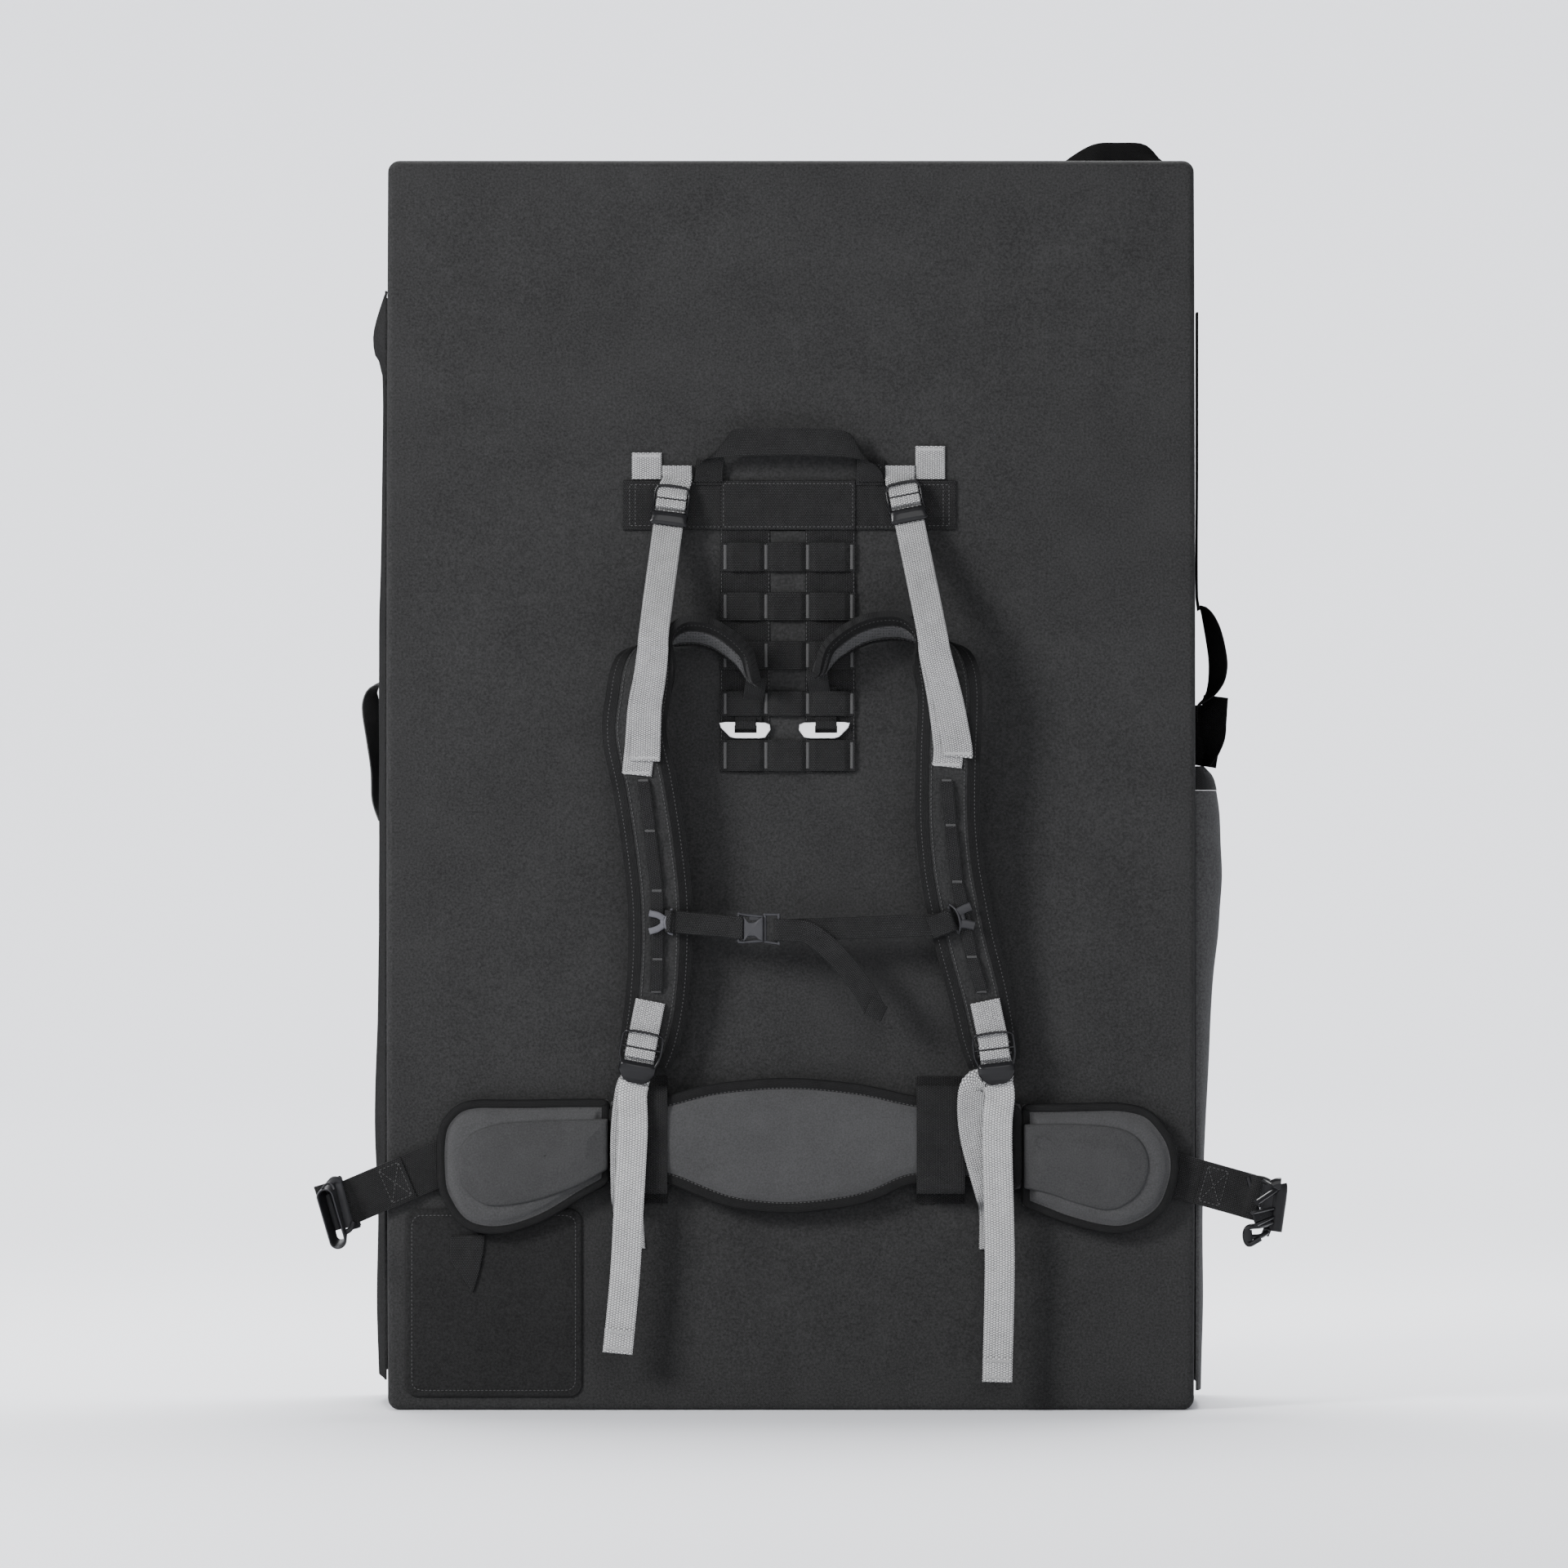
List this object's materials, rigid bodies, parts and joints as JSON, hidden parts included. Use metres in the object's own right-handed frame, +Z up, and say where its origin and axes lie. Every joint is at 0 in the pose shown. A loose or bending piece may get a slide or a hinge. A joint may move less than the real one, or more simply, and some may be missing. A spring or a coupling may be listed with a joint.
{
  "type": "bouldering crash pad",
  "caption": "Hinged two-half bouldering crash pad, folded on end, with shoulder pads, load lifters, chest strap, padded hip belt, carry handles and a closure flap.",
  "frame": {"origin": "centre of the harness half's lower end face, on the surface that the folded pad stands on", "axes": "+Z up the folded pad, which is its longest extent; the harness faces -Y; +X to the right as the harness is seen"},
  "size_m": [0.8154, 0.3219, 1.0831],
  "materials": {
    "pad_fabric": "matte woven nylon",
    "flap_fabric": "matte woven nylon",
    "black_webbing": "woven webbing",
    "pale_webbing": "woven webbing",
    "spacer_mesh": "open spacer mesh",
    "foam": "open and closed cell foam sheet",
    "hook_metal": "satin",
    "black_plastic": "moulded acetal, slightly satin",
    "grey_plastic": "moulded acetal"
  },
  "bodies": {
    "harness_half": {"front_cover": "pad_fabric", "front_foam_firm": "foam", "front_foam_soft": "foam", "spine_cover": "pad_fabric", "loop_handle_right": "black_webbing", "top_handle": "black_webbing", "yoke_band": "black_webbing", "webbing_ladder": "black_webbing", "hook_left": "hook_metal", "hook_right": "hook_metal", "hook_webbing_left": "black_webbing", "hook_webbing_right": "black_webbing", "shoulder_pad_left": "pad_fabric", "shoulder_pad_right": "pad_fabric", "daisy_rail_left": "black_webbing", "daisy_rail_right": "black_webbing", "lifter_tab_left": "pale_webbing", "lifter_tab_right": "pale_webbing", "lifter_loop_left": "pale_webbing", "lifter_loop_right": "pale_webbing", "lifter_lock_left": "black_plastic", "lifter_lock_right": "black_plastic", "lifter_strap_left": "pale_webbing", "lifter_strap_right": "pale_webbing", "adjuster_tab_left": "pale_webbing", "adjuster_tab_right": "pale_webbing", "adjuster_lock_left": "black_plastic", "adjuster_lock_right": "black_plastic", "adjuster_strap_left": "pale_webbing", "adjuster_strap_right": "pale_webbing", "hip_lumbar": "spacer_mesh", "belt_keeper_left": "black_webbing", "belt_keeper_right": "black_webbing", "corner_pocket": "pad_fabric", "pocket_pull": "black_webbing", "chest_slider_left": "grey_plastic", "chest_slider_right": "black_plastic", "chest_webbing_left": "black_webbing", "chest_webbing_right": "black_webbing", "chest_socket": "black_plastic", "chest_plug": "black_plastic"},
    "rear_half": {"rear_cover": "pad_fabric", "rear_foam_firm": "foam", "rear_foam_soft": "foam", "closure_flap": "flap_fabric", "flap_binding": "black_webbing", "closure_strap": "black_webbing", "side_handle_left": "black_webbing"},
    "grab_handle": {"grab_handle": "black_webbing"},
    "left_wing": {"hip_wing_left": "pad_fabric", "hip_webbing_left": "black_webbing"},
    "right_wing": {"hip_wing_right": "pad_fabric", "hip_webbing_right": "black_webbing"},
    "belt_socket": {"hip_buckle_socket": "black_plastic"},
    "belt_plug": {"hip_buckle_plug": "black_plastic"},
    "left_tail": {"adjuster_tail_left": "pale_webbing"},
    "right_tail": {"adjuster_tail_right": "pale_webbing"},
    "upper_latch": {"chest_latch_upper": "black_plastic"},
    "lower_latch": {"chest_latch_lower": "black_plastic"}
  },
  "joints": [
    {"name": "fold", "type": "hinge", "parent": "harness_half", "child": "rear_half", "pos_m": [-0.3565, 0.0638, 0.5335], "axis": [0, 0, 1], "range_deg": [0, 180], "deforming": ["spine_cover"]},
    {"name": "grab_handle_swing", "type": "hinge", "parent": "harness_half", "child": "grab_handle", "pos_m": [0, -0.0681, 0.7955], "axis": [1, 0, 0], "range_deg": [0, 85]},
    {"name": "left_wing_swing", "type": "hinge", "parent": "harness_half", "child": "left_wing", "pos_m": [-0.1551, -0.086, 0.217], "axis": [0, 0, 1], "range_deg": [0, 75]},
    {"name": "right_wing_swing", "type": "hinge", "parent": "harness_half", "child": "right_wing", "pos_m": [0.1973, -0.086, 0.217], "axis": [0, 0, -1], "range_deg": [0, 75]},
    {"name": "belt_socket_swivel", "type": "hinge", "parent": "left_wing", "child": "belt_socket", "pos_m": [-0.37688, -0.07312, 0.17772], "axis": [-0.3911, 0, 0.9203], "range_deg": [-30, 30]},
    {"name": "belt_plug_swivel", "type": "hinge", "parent": "right_wing", "child": "belt_plug", "pos_m": [0.39501, -0.07312, 0.1819], "axis": [-0.2696, 0, -0.963], "range_deg": [-30, 30]},
    {"name": "left_tail_swing", "type": "hinge", "parent": "harness_half", "child": "left_tail", "pos_m": [-0.13306, -0.096, 0.2808], "axis": [-0.9824, 0, 0.1867], "range_deg": [0, 60]},
    {"name": "right_tail_swing", "type": "hinge", "parent": "harness_half", "child": "right_tail", "pos_m": [0.17631, -0.096, 0.27984], "axis": [-0.9929, 0, -0.1191], "range_deg": [0, 60]},
    {"name": "upper_latch_flex", "type": "hinge", "parent": "harness_half", "child": "upper_latch", "pos_m": [-0.02346, -0.10665, 0.41788], "axis": [0, -1, 0], "range_deg": [0, 5], "stiffness_Nm_per_rad": 0.02},
    {"name": "lower_latch_flex", "type": "hinge", "parent": "harness_half", "child": "lower_latch", "pos_m": [-0.02346, -0.10665, 0.40868], "axis": [0, 1, 0], "range_deg": [0, 5], "stiffness_Nm_per_rad": 0.02}
  ]
}
